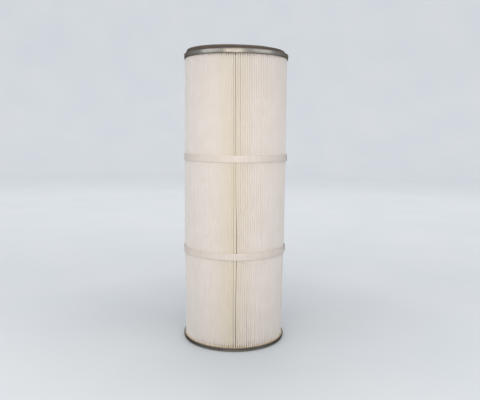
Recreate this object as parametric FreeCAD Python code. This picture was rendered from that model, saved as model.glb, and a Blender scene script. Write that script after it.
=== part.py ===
"""Pleated filter cartridge with pressed steel end caps: open at the top, closed at the bottom.

Origin at the middle of the bottom face, +Z up along the cartridge's axis, sizes in millimetres.
The bonding seam of the pleat pack faces -Y, and the lap joints of the two bands face +X.
"""
import FreeCAD, Part
import math
import os

Vec = FreeCAD.Vector
UP = Vec(0, 0, 1)

# Overall size
OUTER_RADIUS = 113.5          # end caps, 8 15/16 in across
DECK_HEIGHT = 628.9           # top face of the top cap
GASKET_HEIGHT = 7.9

# End caps, pressed from one sheet
SHEET = 0.8
OUTLET_RADIUS = 50.8          # open throat of the top cap, 4 in across
OUTLET_DEPTH = 15.0           # deck to the collar's lower edge
SKIRT_HEIGHT = 9.1            # deck to the lower edge of the top cap's skirt
CORNER_BEND = 1.8             # between the deck and the skirt
DECK_STEP_RADIUS = 84.0       # inside this radius the deck lies one step lower
DECK_STEP = 1.5
LIP_HEIGHT = 9.2              # top of the bottom cap's hemmed lip
HEM_DROP = 3.4                # height of the hem's folded strip
HEM_WIDTH = 2.0
BOSS_CLEARANCE = 0.4          # bottom cap's raised middle to the core round it, and their corner's bend
BOSS_HEIGHT = 4.6

# Gasket: inner and outer radius of its foot and of its sealing face
GASKET_FOOT = (88.0, 109.0)
GASKET_CROWN = (90.5, 105.5)

# Perforated core tube
CORE_RADIUS = 52.6            # outside
CORE_WALL = 0.8
CORE_TOP_GAP = 0.6            # top end to the underside of the deck
LOCK_SEAM = (7.0, 0.7)        # width and height of the fold that closes the tube, at +Y
HOLE_RADIUS = 4.8
HOLES_ROUND = 18
HOLE_ROW_PITCH = 15.0
PLAIN_END = 16.0              # length with no holes at each end

# Pleated media
PLEATS = 144
MEDIA_THICKNESS = 0.5
TIP_RADIUS = 111.0            # outermost points of the folds
ROOT_RADIUS = 53.6            # innermost points of the folds
TIP_FOLD = 0.9                # fold radii at the middle of the sheet
ROOT_FOLD = 0.5
PACK_BOTTOM = 4.0
PACK_TOP = 624.6
SEAM_ANGLE = -math.pi / 2
SEAM_BEAD = (0.08, 0.30)      # stretch of the seam pleat's legs that the bead fills, from the tip

# Potting compound
POTTING_DEPTH = 4.6           # how deep the pleats stand in it

# Girth bands
LOWER_BAND_Z = 205.6          # middle of the lower band
BAND_SPACING = 203.2
BAND_WIDTH = 14.5
BAND_THICKNESS = 0.9
BAND_INNER_RADIUS = 112.3
LAP_ANGLE = math.radians(-6)  # where the outer end of the band stops
LAP_LENGTH = 30.0             # overlap of the two ends
LAP_RAMP = 8.0                # length over which the outer end comes down beyond the overlap
GLUE_WIDTH = 9.0
GLUE_DEPTH = 2.0              # how far the hot melt reaches in between the pleat tips


def polar(radius, angle, z=0.0):
    """The point at an angle in radians round the cartridge's axis."""
    return Vec(radius * math.cos(angle), radius * math.sin(angle), z)


def bend_points(before, corner, after):
    """Start, crown and end of the arc that rounds a (radius, z, bend radius) corner."""
    here = Vec(corner[0], 0, corner[1])
    if corner[2] == 0:
        return here, None, here
    back = (Vec(before[0], 0, before[1]) - here).normalize()
    ahead = (Vec(after[0], 0, after[1]) - here).normalize()
    half = back.getAngle(ahead) / 2
    reach = corner[2] / math.tan(half)
    crown = corner[2] / math.sin(half) - corner[2]
    return here + back * reach, here + (back + ahead).normalize() * crown, here + ahead * reach


def turned(corners):
    """The solid of revolution of an outline of (radius, z, bend radius) corners."""
    count = len(corners)
    bends = [bend_points(corners[i - 1], corners[i], corners[(i + 1) % count]) for i in range(count)]
    edges = []
    for i, (start, crown, end) in enumerate(bends):
        if crown is not None:
            edges.append(Part.Arc(start, crown, end).toShape())
        edges.append(Part.LineSegment(end, bends[(i + 1) % count][0]).toShape())
    return Part.Face(Part.Wire(edges)).revolve(Vec(0, 0, 0), UP, 360)


def other_side(path):
    """A path along one face of a sheet, moved to the sheet's other face, which lies to its right."""
    moved = []
    for i, (r, z, bend) in enumerate(path):
        here = Vec(r, 0, z)
        before = Vec(path[max(i - 1, 0)][0], 0, path[max(i - 1, 0)][1])
        after = Vec(path[min(i + 1, len(path) - 1)][0], 0, path[min(i + 1, len(path) - 1)][1])
        ahead = (after - here if i < len(path) - 1 else here - before).normalize()
        into = (here - before if i > 0 else after - here).normalize()
        mitre = (Vec(into.z, 0, -into.x) + Vec(ahead.z, 0, -ahead.x)).normalize()
        there = here + mitre * (SHEET / mitre.dot(Vec(into.z, 0, -into.x)))
        if bend > 0:
            turns_left = into.x * ahead.z - into.z * ahead.x > 0
            bend += SHEET if turns_left else -SHEET
        moved.append((there.x, there.z, bend))
    return moved


def pressed(path):
    """A round sheet-metal part, with the sheet to the right of the path."""
    return turned(path + other_side(path)[::-1])


def top_cap_path():
    """Upper and outer face of the top cap, from the collar's lower edge to the skirt's."""
    return [
        (OUTLET_RADIUS, DECK_HEIGHT - OUTLET_DEPTH, 0),
        (OUTLET_RADIUS, DECK_HEIGHT - DECK_STEP, 1.8),
        (DECK_STEP_RADIUS - DECK_STEP, DECK_HEIGHT - DECK_STEP, 1.0),
        (DECK_STEP_RADIUS, DECK_HEIGHT, 1.6),
        (OUTER_RADIUS, DECK_HEIGHT, CORNER_BEND),
        (OUTER_RADIUS, DECK_HEIGHT - SKIRT_HEIGHT, 0),
    ]


def bottom_cap_path():
    """Upper face of the bottom cap, from the middle of its boss to the hem's free edge."""
    wall = OUTER_RADIUS - HEM_WIDTH
    boss = CORE_RADIUS - CORE_WALL - BOSS_CLEARANCE
    hem_bend = HEM_WIDTH / 2 - 0.01
    return [
        (0, BOSS_HEIGHT, 0),
        (boss, BOSS_HEIGHT, 2.4),
        (boss, SHEET, BOSS_CLEARANCE),
        (wall, SHEET, 1.6),
        (wall, LIP_HEIGHT, hem_bend),
        (OUTER_RADIUS, LIP_HEIGHT, hem_bend),
        (OUTER_RADIUS, LIP_HEIGHT - HEM_DROP, 0),
    ]


def top_gasket():
    crown = DECK_HEIGHT + GASKET_HEIGHT
    return turned([
        (GASKET_FOOT[0], DECK_HEIGHT, 0),
        (GASKET_FOOT[1], DECK_HEIGHT, 0),
        (GASKET_CROWN[1], crown, 1.2),
        (GASKET_CROWN[0], crown, 1.2),
    ])


def plain_core():
    """The core tube with its lock seam, before it is perforated."""
    length = DECK_HEIGHT - DECK_STEP - SHEET - CORE_TOP_GAP - SHEET
    foot = Vec(0, 0, SHEET)
    tube = Part.makeCylinder(CORE_RADIUS, length, foot)
    width, height = LOCK_SEAM
    fold = Part.makeBox(width, CORE_WALL + height, length, Vec(-width / 2, CORE_RADIUS - CORE_WALL, SHEET))
    return tube.fuse(fold).cut(Part.makeCylinder(CORE_RADIUS - CORE_WALL, length, foot))


def core_tube():
    """Staggered rows of round holes, with one column left out at the lock seam."""
    core = plain_core()
    low = SHEET + PLAIN_END
    rows = int((core.BoundBox.ZMax - PLAIN_END - low) / HOLE_ROW_PITCH) + 1
    pitch = 2 * math.pi / HOLES_ROUND
    holes = []
    for row in range(rows):
        for column in range(1, HOLES_ROUND):
            angle = math.pi / 2 + (column + row % 2 / 2 - 0.25) * pitch
            start = polar(CORE_RADIUS - 3 * CORE_WALL, angle, low + row * HOLE_ROW_PITCH)
            holes.append(Part.makeCylinder(HOLE_RADIUS, 6 * CORE_WALL, start, polar(1, angle)))
    return core.cut(holes)


def pleat_leg(offset, angle, side):
    """Ends of one leg of the pleat at an angle, on its tip arc and on its root arc.

    The offset is from the middle of the sheet, outwards, and side is 1 or -1 for the pleat's two legs.
    """
    tip = polar(TIP_RADIUS - MEDIA_THICKNESS / 2 - TIP_FOLD, angle)
    root = polar(ROOT_RADIUS + MEDIA_THICKNESS / 2 + ROOT_FOLD, angle + side * math.pi / PLEATS)
    tip_fold = TIP_FOLD + offset
    root_fold = ROOT_FOLD - offset
    run = root - tip
    cosine = (tip_fold + root_fold) / run.Length
    along = run.normalize()
    across = Vec(along.y, -along.x, 0) * side
    normal = along * cosine + across * math.sqrt(1 - cosine ** 2)
    return tip + normal * tip_fold, root - normal * root_fold


def pleat_wire(offset, z):
    """The closed zigzag of all the pleats, at an offset outwards from the middle of the sheet."""
    lift = UP * z
    edges = []
    for i in range(PLEATS):
        angle = SEAM_ANGLE + 2 * math.pi * i / PLEATS
        half_pitch = math.pi / PLEATS
        before, _ = pleat_leg(offset, angle, -1)
        tip, root = pleat_leg(offset, angle, 1)
        _, after = pleat_leg(offset, angle + 2 * half_pitch, -1)
        crown = polar(TIP_RADIUS - MEDIA_THICKNESS / 2 + offset, angle)
        trough = polar(ROOT_RADIUS + MEDIA_THICKNESS / 2 + offset, angle + half_pitch)
        edges.append(Part.Arc(before + lift, crown + lift, tip + lift).toShape())
        edges.append(Part.LineSegment(tip + lift, root + lift).toShape())
        edges.append(Part.Arc(root + lift, trough + lift, after + lift).toShape())
        next_tip, _ = pleat_leg(offset, angle + 2 * half_pitch, -1)
        edges.append(Part.LineSegment(after + lift, next_tip + lift).toShape())
    return Part.Wire(edges)


def circle_wire(radius, z):
    return Part.Wire(Part.makeCircle(radius, Vec(0, 0, z)))


def between(outer, inner, height):
    """The ring between two closed wires at one level, drawn up to a height."""
    return Part.makeFace([outer, inner], "Part::FaceMakerBullseye").extrude(UP * height)


def pleated_media():
    half = MEDIA_THICKNESS / 2
    outside = pleat_wire(half, PACK_BOTTOM)
    inside = pleat_wire(-half, PACK_BOTTOM)
    return between(outside, inside, PACK_TOP - PACK_BOTTOM)


def round_the_pleats(outer_radius, z):
    """The compound that stands between the pleats, the core and the cap's wall."""
    half = MEDIA_THICKNESS / 2
    outer = between(circle_wire(outer_radius, z), pleat_wire(half, z), POTTING_DEPTH)
    inner = between(pleat_wire(-half, z), circle_wire(CORE_RADIUS, z), POTTING_DEPTH)
    return [outer, inner]


def bottom_potting():
    wall = OUTER_RADIUS - HEM_WIDTH
    bed = turned([
        (CORE_RADIUS, SHEET, 0),
        (wall, SHEET, 1.6),
        (wall, PACK_BOTTOM, 0),
        (CORE_RADIUS, PACK_BOTTOM, 0),
    ])
    return bed.fuse(round_the_pleats(wall, PACK_BOTTOM)).cut(plain_core())


def top_potting():
    inside = other_side(top_cap_path())
    wall = inside[-1][0]
    bed = turned([
        (CORE_RADIUS, PACK_TOP, 0),
        (CORE_RADIUS, inside[2][1], 0),
        *inside[2:5],
        (wall, PACK_TOP, 0),
    ])
    return bed.fuse(round_the_pleats(wall, PACK_TOP - POTTING_DEPTH)).cut(plain_core())


def media_seam_bead():
    """Adhesive between the two end legs of the pleat pack, from one potting to the other."""
    corners = []
    for side, stretch in ((1, SEAM_BEAD), (-1, SEAM_BEAD[::-1])):
        tip, root = pleat_leg(-MEDIA_THICKNESS / 2, SEAM_ANGLE, side)
        corners += [tip + (root - tip) * share for share in stretch]
    bottom = PACK_BOTTOM + POTTING_DEPTH
    height = PACK_TOP - POTTING_DEPTH - bottom
    outline = Part.makePolygon([corner + UP * bottom for corner in corners + corners[:1]])
    return Part.Face(outline).extrude(UP * height)


def band(middle):
    """A strap bonded round the pleats, whose outer end overlaps the inner one."""
    low = middle - BAND_WIDTH / 2
    outer_radius = BAND_INNER_RADIUS + BAND_THICKNESS
    strap = between(circle_wire(outer_radius, low), circle_wire(BAND_INNER_RADIUS, low), BAND_WIDTH)
    lap_radius = outer_radius + BAND_THICKNESS
    lap_end = LAP_ANGLE + LAP_LENGTH / outer_radius
    ramp_end = lap_end + LAP_RAMP / outer_radius
    under = (LAP_ANGLE + ramp_end) / 2
    outline = Part.Wire([
        Part.LineSegment(polar(outer_radius, LAP_ANGLE, low), polar(lap_radius, LAP_ANGLE, low)).toShape(),
        Part.Arc(polar(lap_radius, LAP_ANGLE, low), polar(lap_radius, (LAP_ANGLE + lap_end) / 2, low),
                 polar(lap_radius, lap_end, low)).toShape(),
        Part.LineSegment(polar(lap_radius, lap_end, low), polar(outer_radius, ramp_end, low)).toShape(),
        Part.Arc(polar(outer_radius, ramp_end, low), polar(outer_radius, under, low),
                 polar(outer_radius, LAP_ANGLE, low)).toShape(),
    ])
    return strap.fuse(Part.Face(outline).extrude(UP * BAND_WIDTH))


def band_adhesive(middle):
    """Hot melt under a band, which also fills the mouths of the pleats' valleys."""
    low = middle - GLUE_WIDTH / 2
    filled = between(circle_wire(BAND_INNER_RADIUS, low), pleat_wire(MEDIA_THICKNESS / 2, low), GLUE_WIDTH)
    return filled.cut(Part.makeCylinder(TIP_RADIUS - GLUE_DEPTH, GLUE_WIDTH, Vec(0, 0, low)))


UPPER_BAND_Z = LOWER_BAND_Z + BAND_SPACING

PIECES = {
    "top_gasket": top_gasket(),
    "top_end_cap": pressed(top_cap_path()),
    "top_potting": top_potting(),
    "core_tube": core_tube(),
    "pleated_media": pleated_media(),
    "media_seam_bead": media_seam_bead(),
    "upper_band": band(UPPER_BAND_Z),
    "upper_band_adhesive": band_adhesive(UPPER_BAND_Z),
    "lower_band": band(LOWER_BAND_Z),
    "lower_band_adhesive": band_adhesive(LOWER_BAND_Z),
    "bottom_potting": bottom_potting(),
    "bottom_end_cap": pressed(bottom_cap_path()),
}

os.makedirs("parts", exist_ok=True)
for name, piece in PIECES.items():
    piece.exportStep(f"parts/{name}.step")
    print(name, piece.isValid(), len(piece.Solids), round(piece.Volume / 1000, 2), "cm3")
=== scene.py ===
import math

import bpy
import numpy as np
from mathutils import Matrix, Vector


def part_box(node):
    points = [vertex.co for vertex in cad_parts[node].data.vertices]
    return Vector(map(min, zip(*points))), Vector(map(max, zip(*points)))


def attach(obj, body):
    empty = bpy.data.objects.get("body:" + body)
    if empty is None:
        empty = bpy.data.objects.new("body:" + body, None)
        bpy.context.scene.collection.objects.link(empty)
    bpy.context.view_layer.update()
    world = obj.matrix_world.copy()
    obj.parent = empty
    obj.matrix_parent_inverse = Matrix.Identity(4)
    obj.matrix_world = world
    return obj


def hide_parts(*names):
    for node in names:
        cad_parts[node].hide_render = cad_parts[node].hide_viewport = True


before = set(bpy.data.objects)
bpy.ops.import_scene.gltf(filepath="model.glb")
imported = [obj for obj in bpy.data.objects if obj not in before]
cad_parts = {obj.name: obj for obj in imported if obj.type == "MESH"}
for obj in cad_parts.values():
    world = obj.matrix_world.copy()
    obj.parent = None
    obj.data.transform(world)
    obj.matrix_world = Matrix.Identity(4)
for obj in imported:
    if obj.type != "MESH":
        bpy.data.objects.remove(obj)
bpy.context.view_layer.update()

# Outlines and sizes below are in millimetres, and the objects made from them in metres
MM = 0.001
FULL_TURN = 2 * math.pi


def node_span(name):
    """Outer radius, bottom and top of a CAD node that stands round the axis."""
    low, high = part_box(name)
    return high.y / MM, low.z / MM, high.z / MM


OUTER_RADIUS, _, LIP_TOP = node_span("bottom_end_cap")
_, COLLAR_BOTTOM, DECK = node_span("top_end_cap")
GASKET_FOOT_RADIUS, _, CROWN = node_span("top_gasket")
_, PACK_BOTTOM, PACK_TOP = node_span("pleated_media")
CORE_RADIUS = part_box("core_tube")[1].x / MM

# Sheet metal
SHEET = 0.8
OUTLET_RADIUS = 50.8
COLLAR_BEND = 1.8
DECK_STEP_RADIUS = 84.0
DECK_STEP = 1.5
SEAT_MARGIN = 0.8              # from the gasket's foot to where the flange starts to rise
DECK_BENDS = (1.0, 1.6, 1.0)   # at the foot and the head of the step, and where the flange starts to rise
RIM_RISE = 1.0                 # from the gasket's seat to the flange's corner, before that is rounded
CORNER_BEND = 1.8
SKIRT_HEIGHT = 9.1
SKIRT_DROOP = 0.8              # the skirt's edge hangs this much lower, as a mean round the cap,
SKIRT_TILT = 0.3               # and this much more on the left and less on the right
CURL_HEIGHT = 3.2              # the skirt's edge curls in over this height
CURL_INWARD = 0.45
CURL_BEND = 3.0
HEM_DROP = 3.4
HEM_WIDTH = 2.0
PAN_BEND = 1.6                 # at the foot of the bottom cap's wall, inside and on the compound
BOSS_CLEARANCE = 0.4           # from the raised middle to the core round it
BOSS_RADIUS = CORE_RADIUS - SHEET - BOSS_CLEARANCE
BOSS_HEIGHT = 4.6
BOSS_BEND = 2.4
BOSS_FOOT_BEND = 0.4
PINHOLE = 0.4                  # at the axis, where the turned sheet would otherwise have faces of no width

# Gasket
GASKET_INNER_RADIUS = 88.0
GASKET_LEANS = (2.5, 3.5)      # how far the inner and the outer flank lean towards each other
GASKET_BEND = 1.2
GASKET_SPREAD = 0.5            # how far outwards it has spread all round
GASKET_ASIDE = 1.2             # how far it lies to the left
GASKET_TILT = 1.1              # how much taller it stands on the left, and lower on the right

# Compound in the caps
FILM = 0.05                    # between the compound and the metal beside it
TOP_WALL_GAP = 0.2             # between the top cap's compound and its skirt
CREEP_AT_WALL = (0.7, 0.35)    # width and height of the rim of compound that has crept up the wall,
CREEP_AT_CORE = (1.0, 0.5)     # and of the one at the core
CREEP_BEND = 0.9
TOP_RESIN_BEND = 1.4

# Pleats
PLEATS = 144
MEDIA_THICKNESS = 0.5
ROOT_RADIUS = 53.6
ROOT_FOLD = 0.3                # radius of the folds at the core, on the outer face
TIP_RADIUS = 111.2
TIP_SCATTER = 0.35             # how much deeper some tips stand than others
BULGE = 1.0                    # how far the pack stands out at mid height
WAIST = 1.7                    # and how far it is drawn in at the bottom
TIP_LIMIT = 112.2              # the tips stay under the bands
PUSHED_IN = slice(28, 30)      # two pleats on the right that are pushed in low down
PUSH = 1.7
PARTED_WIDTH = 3.0             # width that a pleat shrinks to where it parts from its neighbours,
PARTED_GAP = 0.9               # and the least gap beside it there
POTTED = 4.6                   # depth of the pleats in the compound
FRONT = -math.pi / 2           # the seam's side
SEAM_FOOT = 1.2                # how far right of the front the seam pleat would stand at the bottom,
SEAM_LEAN = 7.0                # how far it leans to the left from there to the top,
SEAM_BOW = 1.4                 # and how far left of that line it is pushed low down
SEAM_PLEATS = [-1, 0, 1]       # the seam pleat and the ones beside it, darkened with painted shade
SEAM_PAINTED_SHADE = 2.0
KEPT_NARROW = slice(0, 12)     # the pleats to the right of the seam whose gaps stay narrow

# Seam bead
BEAD_FROM_TIP = 4.0
BEAD_DEPTH = 12.0
BEAD_FILL = (0.9, 0.7)         # how much of the seam pleat's width it fills, outside and inside

# Bands
BAND_THICKNESS = 0.9
BAND_CORNER = 0.3
LAP_ANGLE = math.radians(-6)
LAP_LENGTH = 30.0
LAP_GAP = 0.02
LAP_RAMP = 8.0
LAP_LIFT = 0.5                 # how far the free end has sprung away
LIFTED = 9.0                   # over this length
BAND_SAG = 0.25


def smoothstep(low, high, x):
    """0 at low, 1 at high, and smooth in between."""
    t = np.clip((x - low) / (high - low), 0.0, 1.0)
    return t * t * (3 - 2 * t)


def grid_faces(rows, columns, rows_close, columns_close):
    """Quads over rows of points; the last row, or the last column, may join the first again."""
    row = np.arange(rows if rows_close else rows - 1)
    column = np.arange(columns if columns_close else columns - 1)
    row, column = (a.ravel() for a in np.meshgrid(row, column, indexing="ij"))
    next_row, next_column = (row + 1) % rows, (column + 1) % columns
    corners = [(row, column), (row, next_column), (next_row, next_column), (next_row, column)]
    return np.stack([r * columns + c for r, c in corners], axis=1).tolist()


def make_piece(name, points, faces, slot, *replaced, **attributes):
    """A smooth-shaded piece that stands for CAD nodes, with a number per point for each attribute."""
    mesh = bpy.data.meshes.new(name)
    mesh.from_pydata((np.reshape(points, (-1, 3)) * MM).tolist(), [], faces)
    mesh.polygons.foreach_set("use_smooth", np.ones(len(mesh.polygons), bool))
    for key, values in attributes.items():
        layer = mesh.attributes.new(key, "FLOAT", "POINT")
        layer.data.foreach_set("value", np.ravel(values).astype(np.float32))
    piece = bpy.data.objects.new(name, mesh)
    bpy.context.scene.collection.objects.link(piece)
    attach(piece, "root")
    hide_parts(*replaced)
    return piece


# Pieces turned round the axis, from outlines of (radius, height, bend radius) corners

def rounded(corners, closed, steps=6):
    """The outline's points with its bends as arcs, and 1 for each point on a bend."""
    points, bend_flags = [], []
    last = len(corners) - 1
    for k, (r, z, bend) in enumerate(corners):
        here = np.array([r, z], float)
        if bend == 0 or (not closed and k in (0, last)):
            points.append(here)
            bend_flags.append(0.0)
            continue
        back = np.array(corners[k - 1][:2]) - here
        ahead = np.array(corners[(k + 1) % (last + 1)][:2]) - here
        back /= np.linalg.norm(back)
        ahead /= np.linalg.norm(ahead)
        half = math.acos(back @ ahead) / 2
        middle = here + (back + ahead) / np.linalg.norm(back + ahead) * bend / math.sin(half)
        start = here + back * bend / math.tan(half) - middle
        sweep = (math.pi - 2 * half) * math.copysign(1, back[1] * ahead[0] - back[0] * ahead[1])
        for angle in np.linspace(0, sweep, steps):
            c, s = math.cos(angle), math.sin(angle)
            points.append(middle + (c * start[0] - s * start[1], s * start[0] + c * start[1]))
            bend_flags.append(1.0)
    return np.array(points), np.array(bend_flags)


def sheet_outline(corners, thickness):
    """A closed outline of a bent sheet, from the corners of one face, with the sheet on their right."""
    face, bends = rounded(corners, closed=False)
    run = np.diff(face, axis=0)
    right = np.stack([run[:, 1], -run[:, 0]], axis=1) / np.linalg.norm(run, axis=1)[:, None]
    before, after = np.vstack([right[:1], right]), np.vstack([right, right[-1:]])
    mitre = (before + after) / np.linalg.norm(before + after, axis=1)[:, None]
    back = face + mitre * thickness / (mitre * before).sum(axis=1)[:, None]
    return np.vstack([face, back[::-1]]), np.concatenate([bends, bends[::-1]])


def finely(points, flags, longest=3.0):
    """The closed outline with its long stretches divided."""
    out, out_flags = [], []
    for a, b, fa, fb in zip(points, np.roll(points, -1, axis=0), flags, np.roll(flags, -1)):
        parts = max(1, math.ceil(np.linalg.norm(b - a) / longest))
        for k in range(parts):
            out.append(a + (b - a) * k / parts)
            out_flags.append(fa if k == 0 else min(fa, fb))
    return np.array(out), np.array(out_flags)


def turned(name, outline, slot, replaced, uneven, segments=288):
    """A closed outline turned round the axis.

    uneven(angle, r, z) gives how far out and how far up its points move.
    """
    points, flags = finely(*outline)
    angle = (np.arange(segments) * FULL_TURN / segments)[:, None]
    r, z = np.tile(points[:, 0], (segments, 1)), np.tile(points[:, 1], (segments, 1))
    outward, upward = uneven(angle, r, z)
    r, z = r + outward, z + upward
    ring = np.stack([r * np.cos(angle), r * np.sin(angle), z], axis=-1)
    edge = np.tile(flags, (segments, 1))
    return make_piece(name, ring, grid_faces(segments, len(points), True, True), slot, replaced, edge=edge)


def ripple(angle, seed, waves):
    """A gentle closed wave round the axis, about -1 to 1."""
    rng = np.random.default_rng(seed)
    total = 0 * angle
    for k in range(2, 2 + waves):
        total = total + rng.normal() / k * np.sin(k * angle + rng.uniform(0, FULL_TURN))
    return total


def top_end_cap():
    """The upper face runs from the collar's foot over the stepped deck and the rim to the skirt's edge."""
    skirt_edge = DECK - SKIRT_HEIGHT
    foot_bend, head_bend, seat_bend = DECK_BENDS
    outline = sheet_outline([
        (OUTLET_RADIUS, COLLAR_BOTTOM, 0),
        (OUTLET_RADIUS, DECK - DECK_STEP, COLLAR_BEND),
        (DECK_STEP_RADIUS - DECK_STEP, DECK - DECK_STEP, foot_bend),
        (DECK_STEP_RADIUS, DECK, head_bend),
        (GASKET_FOOT_RADIUS + SEAT_MARGIN, DECK, seat_bend),
        (OUTER_RADIUS, DECK + RIM_RISE, CORNER_BEND),
        (OUTER_RADIUS, skirt_edge + CURL_HEIGHT, CURL_BEND),
        (OUTER_RADIUS - CURL_INWARD, skirt_edge, 0),
    ], SHEET)

    def uneven(angle, r, z):
        """The skirt is drawn in a little, most of all at its edge, and the edge hangs unevenly."""
        skirt = smoothstep(OUTER_RADIUS - 4, OUTER_RADIUS - 1, r)
        low = smoothstep(DECK - 2, skirt_edge, z)
        drawn_in = 0.12 + 0.1 * ripple(angle, seed=3, waves=9)
        hanging = 0.14 * ripple(angle, seed=4, waves=14) - SKIRT_DROOP + SKIRT_TILT * np.cos(angle)
        return -skirt * drawn_in * (1 + 0.6 * low), skirt * low * hanging

    return turned("top_cap_pressing", outline, "cap_steel", "top_end_cap", uneven)


def bottom_end_cap():
    """The inner face runs from the raised middle over the floor, up the wall and over the hem."""
    wall = OUTER_RADIUS - HEM_WIDTH
    bend = HEM_WIDTH / 2 - 0.01  # a hair less than half, so that the hem's two bends don't meet
    outline = sheet_outline([
        (PINHOLE, BOSS_HEIGHT, 0),
        (BOSS_RADIUS, BOSS_HEIGHT, BOSS_BEND),
        (BOSS_RADIUS, SHEET, BOSS_FOOT_BEND),
        (wall, SHEET, PAN_BEND),
        (wall, LIP_TOP, bend),
        (OUTER_RADIUS, LIP_TOP, bend),
        (OUTER_RADIUS, LIP_TOP - HEM_DROP, 0),
    ], SHEET)

    def uneven(angle, r, z):
        """The hem is drawn in a little, and it waves."""
        hem = smoothstep(wall, OUTER_RADIUS, r) * smoothstep(SHEET, LIP_TOP, z)
        drawn_in = 0.1 + 0.08 * ripple(angle, seed=5, waves=9)
        return -hem * drawn_in, 0.16 * hem * ripple(angle, seed=6, waves=16)

    return turned("bottom_cap_pressing", outline, "cap_steel", "bottom_end_cap", uneven)


def top_gasket():
    inner_lean, outer_lean = GASKET_LEANS
    outline = rounded([
        (GASKET_INNER_RADIUS, DECK, 0),
        (GASKET_FOOT_RADIUS, DECK, 0),
        (GASKET_FOOT_RADIUS - outer_lean, CROWN, GASKET_BEND),
        (GASKET_INNER_RADIUS + inner_lean, CROWN, GASKET_BEND),
    ], closed=True)

    def uneven(angle, r, z):
        """The ring lies to the left and is taller there, and it waves."""
        right = np.cos(angle)
        outward = GASKET_SPREAD - GASKET_ASIDE * right + 0.35 * ripple(angle, seed=8, waves=20)
        higher = 0.2 * ripple(angle, seed=9, waves=26) - GASKET_TILT * right
        return outward, smoothstep(DECK, CROWN, z) * higher

    return turned("gasket_ring", outline, "gasket_rubber", "top_gasket", uneven)


def bottom_potting():
    """The compound fills the cap round the core, and has crept up the wall and the core a little."""
    core, wall = CORE_RADIUS + FILM, OUTER_RADIUS - HEM_WIDTH - FILM
    level = PACK_BOTTOM + POTTED
    outline = rounded([
        (core, SHEET, 0),
        (wall, SHEET, PAN_BEND),
        (wall, level + CREEP_AT_WALL[1], 0),
        (wall - CREEP_AT_WALL[0], level, CREEP_BEND),
        (CORE_RADIUS + CREEP_AT_CORE[0], level, CREEP_BEND),
        (core, level + CREEP_AT_CORE[1], 0),
    ], closed=True)

    def uneven(angle, r, z):
        """The set surface waves."""
        return 0 * r, smoothstep(SHEET + 2, level, z) * 0.3 * ripple(angle + 0.02 * r, seed=11, waves=40)

    return turned("bottom_resin", outline, "potting", "bottom_potting", uneven, segments=432)


def top_potting():
    """The compound's open face points down, and its roof lies flat under the deck."""
    core, wall = CORE_RADIUS + FILM, OUTER_RADIUS - SHEET - TOP_WALL_GAP
    level = PACK_TOP - POTTED
    roof = DECK - DECK_STEP - SHEET - FILM
    outline = rounded([
        (core, level, 0),
        (wall, level, 0),
        (wall, roof, TOP_RESIN_BEND),
        (core, roof, 0),
    ], closed=True)

    def uneven(angle, r, z):
        """The set surface waves."""
        return 0 * r, smoothstep(roof, level, z) * 0.2 * ripple(angle + 0.02 * r, seed=12, waves=40)

    return turned("top_resin", outline, "potting", "top_potting", uneven, segments=432)


# The pleat pack: one closed zigzag of cloth per level, from the bottom to the top

LEVELS = 42
FLAT_ARCH = 0.28               # height of a pleat's tip to half its width, where the pleats press together
LOOSE_ARCH = 0.5               # and where they stand looser
CROWDING = 2.3                 # a higher value brings more of the levels close to the two ends


def pack_levels():
    """Heights of the levels, closest together at the two ends."""
    spread = np.tanh(np.linspace(-CROWDING, CROWDING, LEVELS)) / math.tanh(CROWDING)
    return (PACK_BOTTOM + PACK_TOP) / 2 + (PACK_TOP - PACK_BOTTOM) / 2 * spread


def wander(rng, z):
    """Slow random waves along the height for each pleat, about -1 to 1."""
    fewest, most, waves = 0.6, 3.0, 3
    count = rng.uniform(fewest, most, (PLEATS, 1, waves))
    phase = rng.uniform(0, FULL_TURN, (PLEATS, 1, waves))
    along = (z - PACK_BOTTOM) / (PACK_TOP - PACK_BOTTOM)
    return np.sin(FULL_TURN * count * along[None, :, None] + phase).mean(axis=2) * 1.4


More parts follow.
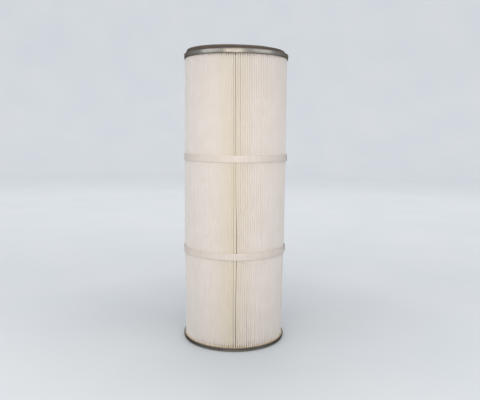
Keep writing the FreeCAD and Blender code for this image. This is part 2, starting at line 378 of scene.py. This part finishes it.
class Pack:
    """Where each pleat's fold stands at each level: arrays of pleats by levels, lengths in millimetres."""

    def __init__(self):
        rng = np.random.default_rng(20)
        self.z = pack_levels()
        self.share = (self.z - PACK_BOTTOM) / (PACK_TOP - PACK_BOTTOM)
        self.count = np.arange(PLEATS)[:, None]
        self.set_tips(rng)
        gap, room = self.spacing(rng)
        self.seam_gaps(gap, room)
        pitch = room / room.sum(axis=0) * FULL_TURN * self.belly
        self.open = self.open_ends(rng)
        gap = gap + self.open * (np.maximum(pitch - PARTED_WIDTH, PARTED_GAP) - gap)
        self.lay_out(gap, pitch)
        self.tone = rng.normal(size=(PLEATS, 1)) + 0 * self.z
        # Painted shade: the seam pleats take the darkest value
        self.tone[SEAM_PLEATS] = SEAM_PAINTED_SHADE
        self.tint()

    def set_tips(self, rng):
        """The pack is a little fuller at mid height and drawn in low down, and its tips are uneven."""
        drawn_in = WAIST * (1 - smoothstep(0.0, 0.5, self.share))
        self.belly = TIP_RADIUS + BULGE * np.sin(math.pi * self.share) - drawn_in
        depth = rng.uniform(0, TIP_SCATTER, (PLEATS, 1)) + 0.01 * wander(rng, self.z)
        self.radius = np.minimum(self.belly - depth, TIP_LIMIT)
        self.radius[PUSHED_IN] -= PUSH * (1 - smoothstep(0.26, 0.31, self.share))

    def spacing(self, rng):
        """The gap on each pleat's left, and each pleat's share of the way round.

        Counted to the right from the seam, the pleats stand loose at first, and press together from the
        back on. The gaps show most near the two ends, and on the right side also between them. Near the
        ends they are crisper still on the right of the seam, but the ones next to it stay narrow.
        """
        share, count = self.share, self.count
        self.loose = 0.1 + 0.9 * (1 - smoothstep(30, 100, count))
        ends = np.maximum(1 - smoothstep(0.04, 0.22, share), smoothstep(0.8, 0.93, share))
        middle = 0.12 + 0.4 * smoothstep(12, 22, count) * (1 - smoothstep(60, 90, count))
        line = self.loose * (middle + (1 - middle) * ends) * np.exp(0.6 * rng.normal(size=(PLEATS, 1)))
        crisp = 1 + (0.6 - 0.4 * share) * ends * smoothstep(1, 4, count) * (1 - smoothstep(16, 34, count))
        gap = 0.03 + 0.2 * line * crisp * (1 + 0.12 * wander(rng, self.z))
        widest = 0.22 + 0.6 * (1 - smoothstep(0.1, 0.5, share))
        gap[KEPT_NARROW] = np.minimum(gap[KEPT_NARROW], widest)
        room = 1 + 0.05 * rng.normal(size=(PLEATS, 1)) + 0.003 * wander(rng, self.z)
        return gap, room

    def seam_gaps(self, gap, room):
        """The valleys beside the seam pleat open and close along it, and the pleat is wide low down."""
        def through(*stops):
            return np.interp(self.share, [stop[0] for stop in stops], [stop[1] for stop in stops])

        gap[0] = through((0, 0.75), (0.16, 0.6), (0.25, 0.36), (0.6, 0.26), (1, 0.36))
        gap[1] = through((0, 1.3), (0.08, 1.3), (0.25, 0.75), (0.36, 1.3), (0.42, 1.1), (0.5, 0.3),
                         (0.6, 0.3), (0.72, 0.55), (0.9, 0.66), (1, 0.68))
        gap[3] = through((0, 0.1), (0.6, 0.12), (0.72, 0.45), (1, 0.52))
        room[0] = through((0, 1.03), (0.2, 1.1), (0.3, 1.3), (0.42, 1.3), (0.55, 0.9), (1, 0.88))

    def open_ends(self, rng):
        """How far each pleat parts from its neighbours where it leaves the compound, most by the seam."""
        near_bottom, near_top = rng.uniform(7, 22, (PLEATS, 1)), rng.uniform(5, 13, (PLEATS, 1))
        above, below = self.z - PACK_BOTTOM - POTTED, PACK_TOP - POTTED - self.z
        from_seam = np.minimum(self.count, PLEATS - self.count)
        parted = 0.45 + 0.6 * np.exp(-(from_seam / 9) ** 2) + 0.25 * rng.normal(size=(PLEATS, 1))
        ends = np.maximum(1 - smoothstep(0, near_bottom, above), 1 - smoothstep(0, near_top, below))
        return ends * np.clip(parted, 0.1, 1)

    def lay_out(self, gap, pitch):
        """The angles of the valleys and of the pleats' middles, and the pleats' half widths and arches."""
        bow = SEAM_BOW * (1 - smoothstep(0.1, 0.38, self.share))
        seam = SEAM_FOOT - SEAM_LEAN * self.share - bow
        along = np.vstack([np.zeros(LEVELS), np.cumsum(pitch, axis=0)[:-1]])
        self.valley = FRONT + (seam + along) / self.belly
        right_gap = np.roll(gap, -1, axis=0)
        self.half_width = (pitch - (gap + right_gap) / 2) / 2
        self.middle = self.valley + (gap / 2 + self.half_width) / self.belly
        self.arch = FLAT_ARCH + (LOOSE_ARCH - FLAT_ARCH) * smoothstep(0.2, 1.0, self.loose)

    def tint(self):
        """How yellow glue has made the cloth.

        It has done so close to the seam, most of all on its left and low down, where its darkening is
        painted shade, and in a wide, fainter band round it.
        """
        beside = ((self.middle - FRONT + math.pi) % FULL_TURN - math.pi) * self.belly
        left, right = np.exp(np.minimum(beside, 0) / 11), np.exp(-np.maximum(beside, 0) / 14)
        close = np.where(beside < 0, left * (0.3 + 0.6 * (1 - self.share)), 0.25 * right)
        self.glue_tint = close + 0.5 * np.exp(-(beside / np.where(beside < 0, 42, 33)) ** 4)


def around(angle, r, z):
    return np.stack([r * np.cos(angle), r * np.sin(angle), z + 0 * r], axis=-1)


def pleat_points(pack, face, turns):
    """Points of one face of the cloth over a pleat: from its left root over the tip to the next valley.

    The face is 0 for the outer one and 1 for the inner one.
    """
    inset = face * MEDIA_THICKNESS
    half = pack.half_width - inset
    arch = (pack.arch + (1 - pack.arch) * pack.open) * pack.half_width
    crown = arch - inset
    rise = pack.radius - arch
    fold = ROOT_FOLD + inset
    root = ROOT_RADIUS + MEDIA_THICKNESS + ROOT_FOLD
    next_valley = np.roll(pack.valley, -1, axis=0)
    next_valley[-1] += FULL_TURN
    columns = [around(pack.valley + fold / root, root + 0 * half, pack.z)]
    for turn in turns:
        angle = pack.middle + half * math.sin(turn) / pack.radius
        columns.append(around(angle, rise + crown * math.cos(turn), pack.z))
    columns.append(around(next_valley - fold / root, root + 0 * half, pack.z))
    columns.append(around(next_valley, root - fold + 0 * half, pack.z))
    return np.stack(columns, axis=1)


OUTER_TURNS = np.radians([-90, -60, -30, 0, 30, 60, 90])
INNER_TURNS = np.radians([-90, 0, 90])


def numbers_over(level, pleat, per_pleat, start):
    """Numbers of one face's points over a pleat at a level, up to the next pleat's first point."""
    row = start + level * PLEATS * per_pleat
    return [row + (pleat * per_pleat + k) % (PLEATS * per_pleat) for k in range(per_pleat + 1)]


def pleated_media(pack):
    outer = pleat_points(pack, 0, OUTER_TURNS)
    inner = pleat_points(pack, 1, INNER_TURNS)
    across, within = outer.shape[1], inner.shape[1]
    rows_out = np.moveaxis(outer, 2, 0).reshape(LEVELS, PLEATS * across, 3)
    rows_in = np.moveaxis(inner, 2, 0).reshape(LEVELS, PLEATS * within, 3)
    start_in = LEVELS * PLEATS * across
    faces = grid_faces(LEVELS, PLEATS * across, False, True)
    for face in grid_faces(LEVELS, PLEATS * within, False, True):
        faces.append([start_in + k for k in face[::-1]])
    for level in (0, LEVELS - 1):
        for pleat in range(PLEATS):
            out = numbers_over(level, pleat, across, 0)
            back = numbers_over(level, pleat, within, start_in)
            rim = [
                [out[0], out[1], back[1], back[0]],
                [out[1], out[2], out[3], out[4], back[2], back[1]],
                [out[4], out[5], out[6], out[7], back[3], back[2]],
                [out[7], out[8], back[4], back[3]],
                [out[8], out[9], back[5], back[4]],
                [out[9], out[10], back[6], back[5]],
            ]
            faces += [face[::-1] if level == 0 else face for face in rim]
    points = np.concatenate([rows_out.reshape(-1, 3), rows_in.reshape(-1, 3)])

    def per_point(values):
        """One value per pleat and level, given to every point there."""
        out = np.repeat(values.T, across, axis=1).ravel()
        return np.concatenate([out, np.repeat(values.T, within, axis=1).ravel()])

    return make_piece("pleat_cloth", points, faces, "media", "pleated_media",
                      tone=per_point(pack.tone), glue_tint=per_point(pack.glue_tint))


def end_faces(rows, columns):
    """The faces that close a tube of rows of points at its first and its last row."""
    return [list(range(columns))[::-1], list(range((rows - 1) * columns, rows * columns))]


def seam_bead(pack):
    """The adhesive inside the seam pleat, between its two legs and a little shorter than they are."""
    middle, half = pack.middle[0], pack.half_width[0] - MEDIA_THICKNESS
    outside = pack.radius[0] - BEAD_FROM_TIP
    inside = outside - BEAD_DEPTH
    wide, narrow = BEAD_FILL
    corners = [(outside, -wide), (outside, wide), (inside, narrow), (inside, -narrow)]
    shorter = slice(2, -2)
    columns = [around(middle + side * half / r, r, pack.z)[shorter] for r, side in corners]
    ring = np.stack(columns, axis=1)
    faces = grid_faces(len(ring), len(corners), False, True) + end_faces(len(ring), len(corners))
    return make_piece("seam_adhesive_line", ring, faces, "seam_adhesive", "media_seam_bead")


# Bands: a flat strap that goes once round and laps over its own start

def strap_profile(width):
    """Outline of the strap's cross-section: (out from the middle of its thickness, up)."""
    h, v, c = BAND_THICKNESS / 2, width / 2, BAND_CORNER
    corners = [(h, -v, c), (h, v, c), (-h, v, c), (-h, -v, c)]
    points, flags = rounded(corners, closed=True, steps=4)
    return finely(points, flags, longest=2.5)


def band(node, seed):
    """The strap from its free outer end, over its lap and down a ramp, once round and under the lap."""
    low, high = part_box(node)
    width, middle = (high.z - low.z) / MM, (high.z + low.z) / 2 / MM
    base = high.y / MM - BAND_THICKNESS / 2
    profile, flags = strap_profile(width)
    lap_end = LAP_LENGTH / base
    ramp_end = lap_end + LAP_RAMP / base
    travel = np.concatenate([
        np.linspace(0, ramp_end, 24, endpoint=False),
        np.linspace(ramp_end, FULL_TURN, 260, endpoint=False),
        np.linspace(FULL_TURN, FULL_TURN + lap_end, 12),
    ])
    over = 1 - smoothstep(lap_end, ramp_end, travel)
    lift = LAP_LIFT * (1 - smoothstep(0, LIFTED / base, travel)) ** 2
    rng = np.random.default_rng(seed)
    sag = BAND_SAG * np.sin(travel + rng.uniform(0, FULL_TURN)) + 0.12 * ripple(travel, seed, waves=8)
    r = (base + over * (BAND_THICKNESS + LAP_GAP) + lift)[:, None] + profile[:, 0]
    z = (middle + sag)[:, None] + profile[:, 1]
    angle = (LAP_ANGLE + travel)[:, None]
    ring = np.stack([r * np.cos(angle), r * np.sin(angle), z], axis=-1)
    rows, columns = r.shape
    faces = grid_faces(rows, columns, False, True) + end_faces(rows, columns)
    edge = np.tile(flags, (rows, 1))
    return make_piece(node + "_strap", ring, faces, "band", node, edge=edge)


# Shader nodes: places are in metres, so a noise's scale is about how many of its waves fill a metre

def node(tree, kind, settings=None, **inputs):
    """A new shader node; each input is a value or another node's output."""
    made = tree.nodes.new("ShaderNode" + kind)
    for key, value in (settings or {}).items():
        setattr(made, key, value)
    for key, value in inputs.items():
        socket = made.inputs[key.replace("_", " ")]
        if isinstance(value, bpy.types.NodeSocket):
            tree.links.new(value, socket)
        else:
            socket.default_value = value
    return made


def new_material(name, **uniform):
    """A material, its node tree and its shader, with what is the same all over set on the shader."""
    material = bpy.data.materials.new(name)
    material.use_nodes = True
    shader = material.node_tree.nodes["Principled BSDF"]
    for key, value in uniform.items():
        shader.inputs[key.replace("_", " ")].default_value = value
    return material, material.node_tree, shader


def colour(r, g, b):
    """A colour as seen, 0 to 255 in each channel, as a shader's linear colour."""
    seen = [c / 255 for c in (r, g, b)]
    return (*[c / 12.92 if c <= 0.04 else ((c + 0.055) / 1.055) ** 2.4 for c in seen], 1.0)


def place(tree):
    return node(tree, "TexCoord").outputs["Object"]


def attribute(tree, name):
    return node(tree, "Attribute", {"attribute_name": name}).outputs["Fac"]


def stretched(tree, vector, x, y, z):
    return node(tree, "Mapping", Vector=vector, Scale=(x, y, z)).outputs[0]


def noise(tree, vector, scale, detail, roughness=0.5):
    made = node(tree, "TexNoise", Vector=vector, Scale=scale, Detail=detail, Roughness=roughness)
    return made.outputs["Fac"]


def cells(tree, vector, scale, randomness=1.0):
    """The distance from the middle of the cell round each place."""
    made = node(tree, "TexVoronoi", Vector=vector, Scale=scale, Randomness=randomness)
    return made.outputs["Distance"]


def ranged(tree, value, low, high, new_low, new_high):
    """The value's stretch from low to high, taken to new_low to new_high and held at both."""
    made = node(tree, "MapRange", Value=value)
    for key, limit in zip(("From Min", "From Max", "To Min", "To Max"), (low, high, new_low, new_high)):
        made.inputs[key].default_value = limit
    return made.outputs[0]


def mixed(tree, share, first, second):
    return node(tree, "MixRGB", Fac=share, Color1=first, Color2=second).outputs[0]


def tinted(tree, value, low, high, strength, under, over):
    """One colour laid over another, from not at all at low to the given strength at high."""
    return mixed(tree, ranged(tree, value, low, high, 0, strength), under, over)


def math_node(tree, how, first, second):
    made = node(tree, "Math", {"operation": how})
    for socket, value in zip(made.inputs, (first, second)):
        if isinstance(value, bpy.types.NodeSocket):
            tree.links.new(value, socket)
        else:
            socket.default_value = value
    return made.outputs[0]


def bump(tree, shader, height, distance, strength):
    """Adds a relief of that depth in metres over the relief that the shader has."""
    made = node(tree, "Bump", Height=height, Distance=distance, Strength=strength)
    under = shader.inputs["Normal"].links
    if under:
        tree.links.new(under[0].from_socket, made.inputs["Normal"])
    tree.links.new(made.outputs[0], shader.inputs["Normal"])


def plug(tree, shader, **sockets):
    for key, value in sockets.items():
        tree.links.new(value, shader.inputs[key.replace("_", " ")])


def from_axis(tree):
    """The distance from the axis."""
    x, y, _ = node(tree, "SeparateXYZ", Vector=place(tree)).outputs
    squares = math_node(tree, "ADD", math_node(tree, "MULTIPLY", x, x), math_node(tree, "MULTIPLY", y, y))
    return math_node(tree, "SQRT", squares, 0.0)


def circling(tree, along, across):
    """Coordinates for marks that run round the axis: slow along the circle and fast across it."""
    x, y, z = node(tree, "SeparateXYZ", Vector=place(tree)).outputs
    joined = node(tree, "CombineXYZ", X=x, Y=y, Z=math_node(tree, "ADD", from_axis(tree), z)).outputs[0]
    return stretched(tree, joined, along, along, across)


def height_of(tree):
    return node(tree, "SeparateXYZ", Vector=place(tree)).outputs["Z"]


def spunbond_polyester():
    """Cream nonwoven cloth: fibres, bond points, clouds, stains of glue and resin, and painted shade by
    the seam and towards both ends.
    """
    material, tree, shader = new_material("spunbond_polyester", Roughness=0.9, Sheen_Weight=1.0,
                                          Specular_IOR_Level=0.25)
    where = place(tree)
    cloud = noise(tree, where, 34, 3)
    fibres = noise(tree, stretched(tree, where, 1, 1, 0.18), 2600, 2, 0.7)
    bonds = cells(tree, where, 760, randomness=0.25)
    cream = tinted(tree, cloud, 0.3, 0.7, 1, colour(226, 217, 212), colour(221, 211, 205))
    # Random darkening from pleat to pleat, and painted shade on the seam pleats
    cream = tinted(tree, attribute(tree, "tone"), -2, 2, 0.15, cream, colour(212, 200, 186))
    # Yellow glue stain round the seam; its darkening on the seam's left, low down, is painted shade
    cream = tinted(tree, attribute(tree, "glue_tint"), 0, 1, 0.7, cream, colour(206, 193, 165))
    cream = tinted(tree, fibres, 0.35, 0.75, 0.1, cream, colour(190, 178, 160))

    # Painted shade: the cloth is darkened towards the bottom and the top, where the light falls off
    z = height_of(tree)
    low_painted_shade, high_painted_shade = ranged(tree, z, 0.0, 0.16, 0.22, 0), ranged(tree, z, 0.49, 0.61, 0, 0.18)
    cream = mixed(tree, math_node(tree, "MAXIMUM", low_painted_shade, high_painted_shade), cream, colour(176, 170, 162))

    # Resin has risen in the cloth to a ragged line about the compound's level
    ragged = math_node(tree, "MULTIPLY", noise(tree, stretched(tree, where, 1, 1, 0.1), 420, 2), 0.006)
    level = (PACK_BOTTOM + POTTED) * MM
    resin = ranged(tree, math_node(tree, "SUBTRACT", z, ragged), level - 0.0035, level - 0.0015, 0.8, 0)
    cream = mixed(tree, resin, cream, colour(210, 184, 146))
    plug(tree, shader, Base_Color=cream)
    bump(tree, shader, fibres, 0.00006, 0.6)
    bump(tree, shader, ranged(tree, bonds, 0.1, 0.5, 0, 1), 0.00005, 0.5)
    bump(tree, shader, cloud, 0.0004, 0.2)
    return material


def pressed_steel(name, drawn, roughness, dark, light, worn):
    """Tin-plated sheet with marks of turning, dull patches, smudges and rubbed bends.

    The rim and the skirt take the dark colours given, painted shade that stands in for dark reflections;
    within the rim the sheet is paler.
    """
    material, tree, shader = new_material(name, Metallic=1.0, Anisotropic=drawn, Anisotropic_Rotation=0.25,
                                          Specular_Tint=colour(170, 162, 152))
    around_axis = node(tree, "Tangent", {"direction_type": "RADIAL", "axis": "Z"}).outputs[0]
    tree.links.new(around_axis, shader.inputs["Tangent"])
    lines = noise(tree, circling(tree, 22, 2600), 1.0, 3, 0.65)
    patches = noise(tree, place(tree), 38, 5, 0.6)
    smudges = noise(tree, stretched(tree, place(tree), 1, 1, 2.5), 95, 3)
    metal = tinted(tree, patches, 0.35, 0.7, 1, dark, light)
    # Painted shade: outside this, the rim and the skirt keep the darkened colours; within the rim the
    # sheet is paler
    paler_within_rim = ranged(tree, from_axis(tree), (OUTER_RADIUS - 4) * MM, (OUTER_RADIUS - 1.5) * MM, 0.7, 0)
    metal = mixed(tree, paler_within_rim, metal, colour(182, 179, 174))
    metal = tinted(tree, attribute(tree, "edge"), 0.2, 1, 0.6, metal, worn)
    metal = tinted(tree, lines, 0.4, 0.7, 0.22, metal, colour(96, 90, 82))
    smudged = ranged(tree, smudges, 0.35, 0.75, roughness, roughness + 0.14)
    rough = math_node(tree, "ADD", smudged, ranged(tree, lines, 0.3, 0.7, -0.04, 0.06))
    plug(tree, shader, Base_Color=metal, Roughness=rough)
    bump(tree, shader, lines, 0.00004, 0.5)
    bump(tree, shader, noise(tree, place(tree), 14, 2), 0.0008, 0.15)
    return material


def moulded_rubber():
    """Dark brown-grey sponge rubber: pores, a dusty bloom and a rubbed crown."""
    material, tree, shader = new_material("gasket_rubber", Specular_IOR_Level=0.3)
    where = place(tree)
    bloom = noise(tree, where, 55, 5, 0.6)
    pores = cells(tree, where, 900)
    grain = noise(tree, where, 1900, 3, 0.7)
    base = tinted(tree, bloom, 0.3, 0.7, 1, colour(72, 62, 55), colour(94, 83, 74))
    base = mixed(tree, ranged(tree, pores, 0.05, 0.35, 0.7, 0), base, colour(48, 41, 37))
    base = tinted(tree, attribute(tree, "edge"), 0.2, 1, 0.4, base, colour(128, 116, 104))
    plug(tree, shader, Base_Color=base, Roughness=ranged(tree, bloom, 0.3, 0.7, 0.72, 0.92))
    bump(tree, shader, ranged(tree, pores, 0.0, 0.4, 0, 1), 0.00035, 0.6)
    bump(tree, shader, grain, 0.00015, 0.6)
    return material


def strap_plastic():
    """White semi-gloss strap: lines of extrusion, handling marks and soiled edges."""
    material, tree, shader = new_material("strap_plastic", IOR=1.45)
    lines = noise(tree, circling(tree, 14, 3400), 1.0, 2, 0.6)
    soil = noise(tree, stretched(tree, place(tree), 1, 1, 0.6), 70, 4, 0.6)
    white = tinted(tree, soil, 0.35, 0.75, 1, colour(235, 226, 219), colour(224, 214, 206))
    white = tinted(tree, attribute(tree, "edge"), 0.2, 1, 0.35, white, colour(178, 160, 146))
    handled, drawn = ranged(tree, soil, 0.3, 0.7, 0.32, 0.42), ranged(tree, lines, 0.3, 0.7, 0, 0.08)
    rough = math_node(tree, "ADD", handled, drawn)
    plug(tree, shader, Base_Color=white, Roughness=rough)
    bump(tree, shader, lines, 0.00005, 0.5)
    bump(tree, shader, noise(tree, place(tree), 26, 2), 0.0008, 0.2)
    return material


def zinc_sheet():
    """Galvanised steel of the core: spangles and a dull bloom."""
    material, tree, shader = new_material("core_zinc", Metallic=1.0)
    where = place(tree)
    spangles = node(tree, "TexVoronoi", Vector=where, Scale=170.0).outputs["Color"]
    grey = node(tree, "SeparateColor", Color=spangles).outputs[0]
    bloom = noise(tree, where, 30, 4)
    metal = mixed(tree, grey, colour(150, 150, 148), colour(196, 196, 194))
    metal = tinted(tree, bloom, 0.4, 0.75, 0.5, metal, colour(132, 130, 126))
    plug(tree, shader, Base_Color=metal, Roughness=ranged(tree, grey, 0, 1, 0.3, 0.5))
    bump(tree, shader, grey, 0.00004, 0.4)
    return material


def cast_resin():
    """Amber polyurethane, glossy, with small bubbles and a slightly uneven set surface."""
    material, tree, shader = new_material("potting_resin", IOR=1.5, Coat_Weight=0.4, Coat_Roughness=0.12)
    where = place(tree)
    depth = noise(tree, where, 90, 3)
    bubbles = cells(tree, where, 520)
    amber = tinted(tree, depth, 0.3, 0.7, 1, colour(206, 180, 142), colour(184, 154, 114))
    amber = mixed(tree, ranged(tree, bubbles, 0.04, 0.16, 0.7, 0), amber, colour(224, 200, 162))
    plug(tree, shader, Base_Color=amber, Roughness=ranged(tree, depth, 0.3, 0.7, 0.16, 0.3))
    bump(tree, shader, ranged(tree, bubbles, 0.0, 0.2, 1, 0), 0.0002, 0.5)
    bump(tree, shader, noise(tree, where, 200, 2), 0.0005, 0.4)
    return material


def hot_melt(name, dark, light):
    """Waxy set adhesive."""
    material, tree, shader = new_material(name, IOR=1.48)
    where = place(tree)
    flow = noise(tree, where, 240, 3)
    wax = tinted(tree, flow, 0.3, 0.7, 1, dark, light)
    plug(tree, shader, Base_Color=wax, Roughness=ranged(tree, flow, 0.3, 0.7, 0.3, 0.55))
    bump(tree, shader, flow, 0.0005, 0.4)
    return material


def paint(piece, material):
    if not piece.material_slots:
        piece.data.materials.append(material)
    for slot in piece.material_slots:
        slot.material = material


# The stage: a floor that sweeps up into a backdrop all round, and soft lights on every side

def studio_paper():
    """Pale paper with a faint mottle, which looks lighter than it is lit, most of all far off; least near
    the cartridge, a painted shadow round its foot.
    """
    material, tree, shader = new_material("studio_paper", Roughness=0.95, Specular_IOR_Level=0.1)
    grain = noise(tree, place(tree), 400, 2)
    mottle = noise(tree, place(tree), 3, 2)
    pale = tinted(tree, mottle, 0.3, 0.7, 1, colour(200, 203, 206), colour(196, 200, 204))
    path = node(tree, "LightPath").outputs
    seen = path["Is Camera Ray"]
    for kind in ("Is Glossy Ray", "Is Transmission Ray"):
        seen = math_node(tree, "ADD", seen, path[kind])
    away = from_axis(tree)
    # Painted shadow: the glow is weakest near the cartridge, so the floor is darker round its foot
    near, far = ranged(tree, away, 0.1, 0.6, 0.12, 0.34), ranged(tree, away, 0.6, 3.0, 0, 0.44)
    glow = math_node(tree, "MULTIPLY", seen, math_node(tree, "ADD", near, far))
    plug(tree, shader, Base_Color=pale, Emission_Color=pale, Emission_Strength=glow)
    bump(tree, shader, grain, 0.0002, 0.2)
    return material


def cove(floor_radius, bend, height, steps=16, segments=96):
    """A round floor that sweeps up into a wall all the way round, in metres."""
    arc = [math.pi / 2 * k / steps for k in range(steps + 1)]
    centre_hole = (0.01, 0.0)
    path = [centre_hole] + [(floor_radius + bend * math.sin(a), bend - bend * math.cos(a)) for a in arc]
    path.append((floor_radius + bend, height))
    points = []
    for k in range(segments):
        angle = FULL_TURN * k / segments
        points += [(r * math.cos(angle), r * math.sin(angle), z) for r, z in path]
    mesh = bpy.data.meshes.new("studio_cove")
    mesh.from_pydata(points, [], grid_faces(segments, len(path), True, False))
    mesh.polygons.foreach_set("use_smooth", np.ones(len(mesh.polygons), bool))
    made = bpy.data.objects.new("studio_cove", mesh)
    bpy.context.scene.collection.objects.link(made)
    paint(made, studio_paper())


def softbox(name, position, target, width, height, power, tint):
    """A rectangular lamp in metres and watts that faces the target."""
    lamp = bpy.data.lights.new(name, "AREA")
    lamp.shape = "RECTANGLE"
    lamp.size, lamp.size_y = width, height
    lamp.energy = power
    lamp.color = tint
    made = bpy.data.objects.new(name, lamp)
    made.location = position
    made.rotation_mode = "QUATERNION"
    made.rotation_quaternion = (Vector(target) - Vector(position)).to_track_quat("-Z", "Y")
    made.visible_camera = False
    bpy.context.scene.collection.objects.link(made)


def grey_room(level):
    """Even, slightly cool light from all round."""
    world = bpy.data.worlds.new("grey_room")
    bpy.context.scene.world = world
    world.use_nodes = True
    background = world.node_tree.nodes["Background"]
    background.inputs["Color"].default_value = (level * 0.97, level, level * 1.05, 1)
    background.inputs["Strength"].default_value = 1.0


CAMERA_PLACE = (0, -1.2387, 0.46357)                     # in metres
CAMERA_YAW, CAMERA_PITCH, CAMERA_ROLL = 0.54, 7.0, 0.65  # in degrees
CAMERA_LENS, CAMERA_SENSOR = 41.58, 36                   # in millimetres


def camera():
    """Level with the upper part of the cartridge, turned a little to the right and tilted down."""
    yaw, pitch, roll = (math.radians(a) for a in (CAMERA_YAW, CAMERA_PITCH, CAMERA_ROLL))
    forward = Vector((math.sin(yaw) * math.cos(pitch), math.cos(yaw) * math.cos(pitch), -math.sin(pitch)))
    right = Vector((math.cos(yaw), -math.sin(yaw), 0))
    up = right.cross(forward)
    across = math.cos(roll) * right + math.sin(roll) * up
    upward = math.cos(roll) * up - math.sin(roll) * right
    lens = bpy.data.cameras.new("camera")
    lens.lens = CAMERA_LENS
    lens.sensor_width = CAMERA_SENSOR
    made = bpy.data.objects.new("camera", lens)
    bpy.context.scene.collection.objects.link(made)
    turn = Matrix((across, upward, -forward)).transposed().to_4x4()
    made.matrix_world = Matrix.Translation(CAMERA_PLACE) @ turn
    bpy.context.scene.camera = made


camera()

pack = Pack()
cloth = pleated_media(pack)
bead = seam_bead(pack)
caps = [top_end_cap(), bottom_end_cap()]
gasket = top_gasket()
resins = [bottom_potting(), top_potting()]
bands = [band("upper_band", seed=31), band("lower_band", seed=32)]

paint(cloth, spunbond_polyester())
paint(bead, hot_melt("seam_adhesive", colour(214, 204, 182), colour(232, 224, 206)))
bright = pressed_steel("bright_cap_steel", drawn=0.6, roughness=0.3, dark=colour(110, 106, 100),
                       light=colour(129, 125, 119), worn=colour(156, 151, 143))
# The bottom cap's copy of the steel is rougher, and its darker colours are painted shade for the dark
# reflections on its lip
dull = pressed_steel("dull_shaded_cap_steel", drawn=0.92, roughness=0.62, dark=colour(66, 64, 63),
                     light=colour(92, 89, 86), worn=colour(158, 152, 144))
for cap, steel in zip(caps, (bright, dull)):
    paint(cap, steel)
paint(gasket, moulded_rubber())
resin = cast_resin()
for piece in resins:
    paint(piece, resin)
plastic = strap_plastic()
for piece in bands:
    paint(piece, plastic)
paint(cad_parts["core_tube"], zinc_sheet())
glue = hot_melt("band_hot_melt", colour(212, 200, 176), colour(234, 226, 208))
for name in ("upper_band_adhesive", "lower_band_adhesive"):
    paint(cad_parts[name], glue)

# The points of the cloth's folded line at mid height; the sheet's flat width is that line's length
cloth_line = pleat_points(pack, 0, OUTER_TURNS)[:, :, LEVELS // 2].reshape(-1, 3)

cove(floor_radius=4.6, bend=1.4, height=4.2)
softbox("key", (-0.1, -1.4, 0.62), (0, 0, 0.45), 1.1, 0.42, 8.1, (1.0, 0.95, 0.86))
softbox("high_front", (0, -1.5, 2.4), (0, 0, 0.6), 1.8, 0.9, 10.5, (1.0, 0.97, 0.92))
softbox("left_fill", (-2.5, -1.6, 1.3), (0, 0, 0.4), 2.2, 2.1, 26, (0.94, 0.97, 1.0))
softbox("right_fill", (2.5, -1.6, 1.3), (0, 0, 0.4), 2.6, 2.2, 28, (0.94, 0.97, 1.0))
softbox("back", (0, 1.9, 2.0), (0, 0, 0.3), 1.8, 0.9, 12, (1.0, 0.99, 0.97))
softbox("top", (0, 0.5, 3.4), (0, 0, 0.3), 3.0, 2.6, 14, (1.0, 1.0, 1.0))
grey_room(0.41)
bpy.context.scene.view_settings.view_transform = "Standard"
